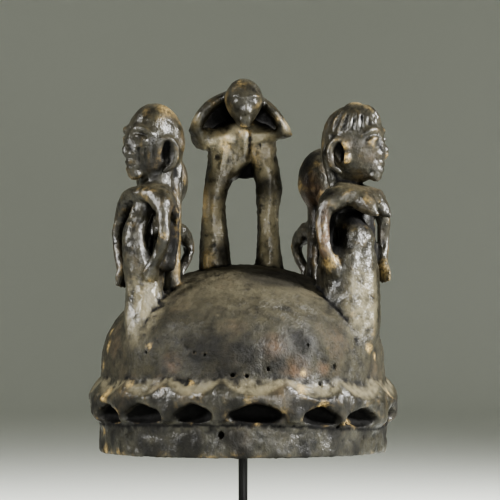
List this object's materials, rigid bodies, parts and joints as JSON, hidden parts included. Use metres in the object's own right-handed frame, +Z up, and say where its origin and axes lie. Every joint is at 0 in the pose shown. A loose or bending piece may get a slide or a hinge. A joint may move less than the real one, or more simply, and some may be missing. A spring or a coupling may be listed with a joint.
{
  "type": "gelede mask",
  "caption": "Carved wooden cap mask with a scalloped roll, standing figures round its dome and one on its crown, held up by a rod on a flat foot.",
  "frame": {"origin": "centre of the underside of the stand's foot", "axes": "+Z up; -Y is the side with the crown figure's face; +X to that viewer's right"},
  "size_m": [0.2659, 0.266, 0.3938],
  "materials": {
    "mask_wood": "dark waxed patina, rubbed and dusty on top",
    "stand_steel": "satin black"
  },
  "bodies": {
    "root": {"mask": "mask_wood", "stand_rod": "stand_steel", "stand_foot": "stand_steel"}
  },
  "joints": []
}
